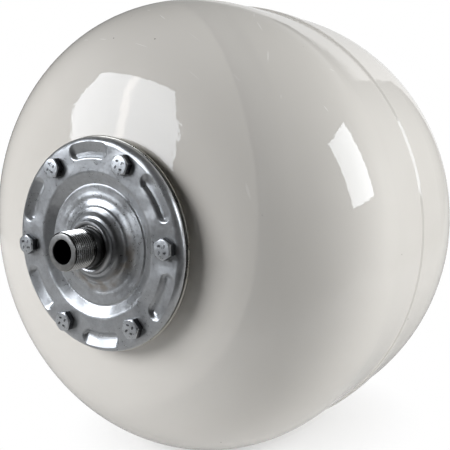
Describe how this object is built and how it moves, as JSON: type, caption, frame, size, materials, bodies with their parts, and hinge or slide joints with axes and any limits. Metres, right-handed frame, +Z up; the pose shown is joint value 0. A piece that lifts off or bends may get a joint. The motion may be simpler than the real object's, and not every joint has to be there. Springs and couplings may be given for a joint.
{
  "type": "expansion tank",
  "caption": "Round flanged bladder expansion vessel for drinking water, with a threaded pipe nipple at the flange and a capped air valve at the rear.",
  "frame": {"origin": "centre of the inner end of the pipe thread, where the mating fitting stops", "axes": "+Y along the vessel's axis from the pipe into the tank, +Z up, a bolt on +X"},
  "size_m": [0.3568, 0.4149, 0.3567],
  "materials": {
    "tank_paint": "glossy warm light grey-white coating",
    "galvanised_steel": "galvanised pressed steel, bluish grey, slightly mottled",
    "ring_steel": "bare steel ring, warm grey",
    "zinc_plated_steel": "zinc-plated bolts",
    "stainless_steel": "turned stainless steel",
    "bladder_rubber": "black rubber",
    "valve_brass": "turned brass",
    "seal_rubber": "black rubber",
    "spring_steel": "spring wire",
    "cap_plastic": "black plastic"
  },
  "bodies": {
    "vessel": {"front_shell": "tank_paint", "rear_shell": "tank_paint", "seam_weld": "tank_paint", "valve_boss": "tank_paint", "boss_weld": "tank_paint", "flange_plate": "galvanised_steel", "backing_ring": "ring_steel", "bolt_1": "zinc_plated_steel", "bolt_2": "zinc_plated_steel", "bolt_3": "zinc_plated_steel", "bolt_4": "zinc_plated_steel", "bolt_5": "zinc_plated_steel", "bolt_6": "zinc_plated_steel", "pipe_nipple": "stainless_steel", "flange_liner": "stainless_steel", "nipple_weld": "stainless_steel", "bladder": "bladder_rubber", "valve_stem": "valve_brass", "core_barrel": "valve_brass", "valve_gasket": "seal_rubber", "core_seal": "seal_rubber", "core_spring": "spring_steel"},
    "cap": {"valve_cap": "cap_plastic", "cap_seal": "seal_rubber"},
    "pin": {"core_pin": "valve_brass", "pin_seal": "seal_rubber"}
  },
  "joints": [
    {"name": "cap_unscrew", "type": "slide", "parent": "vessel", "child": "cap", "axis": [0, 1, 0], "range_m": [0, 0.025]},
    {"name": "pin_press", "type": "slide", "parent": "vessel", "child": "pin", "axis": [0, -1, 0], "range_m": [0, 0.0012], "stiffness_N_per_m": 1500, "springref_m": -0.001, "deforming": ["core_spring"]}
  ]
}
